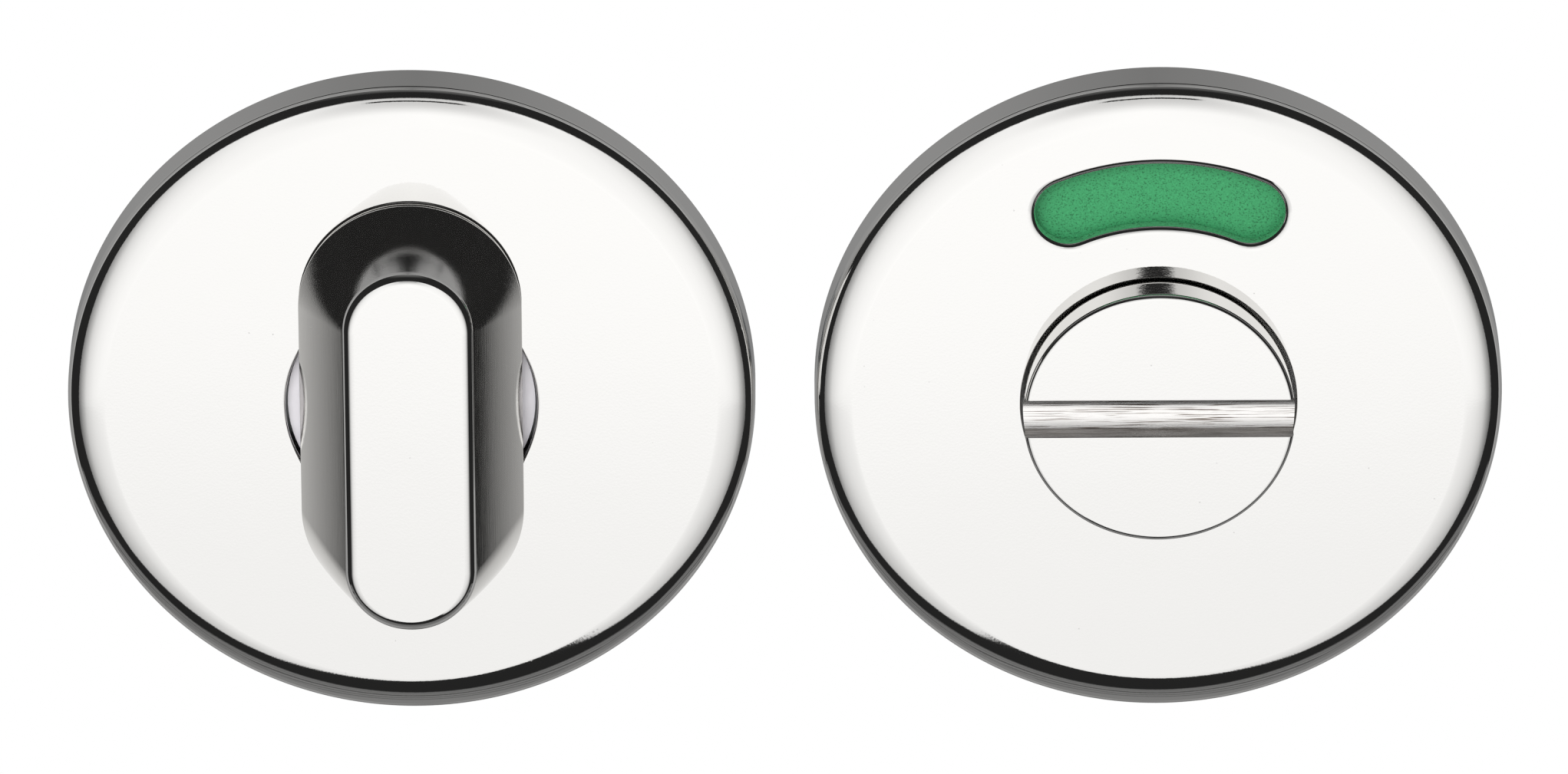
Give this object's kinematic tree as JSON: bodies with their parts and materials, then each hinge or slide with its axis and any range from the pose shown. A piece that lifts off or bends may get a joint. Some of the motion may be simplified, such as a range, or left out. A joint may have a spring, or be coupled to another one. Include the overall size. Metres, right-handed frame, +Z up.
{
  "type": "bathroom thumb turn lock",
  "caption": "Bathroom thumb turn lock: round inside rose with an oval turn, and round outside rose with a coin release and a vacant or engaged indicator window.",
  "frame": {"origin": "the inside rose's spindle axis at its back face, which lies on the door", "axes": "+X to the outside rose beside it, +Y into the door along the spindle, +Z up"},
  "size_m": [0.1043, 0.0524, 0.05],
  "materials": {
    "polished_stainless": "mirror polished",
    "zinc_plate": "die cast",
    "white_nylon": "moulded",
    "zinc_plated_steel": "plated",
    "spring_steel": "drawn",
    "black_oxide_steel": "blackened",
    "disc_plastic": "moulded",
    "green_film": "grained film",
    "red_film": "grained film"
  },
  "bodies": {
    "root": {"turn_rose_cover": "polished_stainless", "turn_inner_rose": "zinc_plate", "turn_bush": "white_nylon", "turn_flat_washer": "zinc_plated_steel", "turn_snap_ring": "spring_steel", "fixing_screws": "zinc_plated_steel", "release_rose_cover": "polished_stainless", "release_inner_rose": "zinc_plate", "release_bush": "white_nylon", "stop_pin": "zinc_plated_steel", "release_flat_washer": "zinc_plated_steel", "release_snap_ring": "spring_steel", "threaded_pillars": "zinc_plated_steel"},
    "turn": {"thumb_turn": "polished_stainless", "turn_spindle": "zinc_plated_steel", "spindle_grub_screw": "black_oxide_steel", "turn_circlip": "spring_steel", "turn_disc_spring": "spring_steel"},
    "release": {"release_knob": "polished_stainless", "indicator_disc": "disc_plastic", "indicator_green_field": "green_film", "indicator_red_field": "red_film", "release_circlip": "spring_steel", "release_disc_spring": "spring_steel"}
  },
  "joints": [
    {"name": "turn_hinge", "type": "hinge", "parent": "root", "child": "turn", "pos_m": [0, 0, 0], "axis": [0, 1, 0], "range_deg": [0, 90]},
    {"name": "release_hinge", "type": "hinge", "parent": "root", "child": "release", "pos_m": [0.0543, 0, 0], "axis": [0, 1, 0], "range_deg": [-90, 0]}
  ],
  "couplings": [
    {"joint": "release_hinge", "follows": "turn_hinge", "ratio": -1}
  ]
}
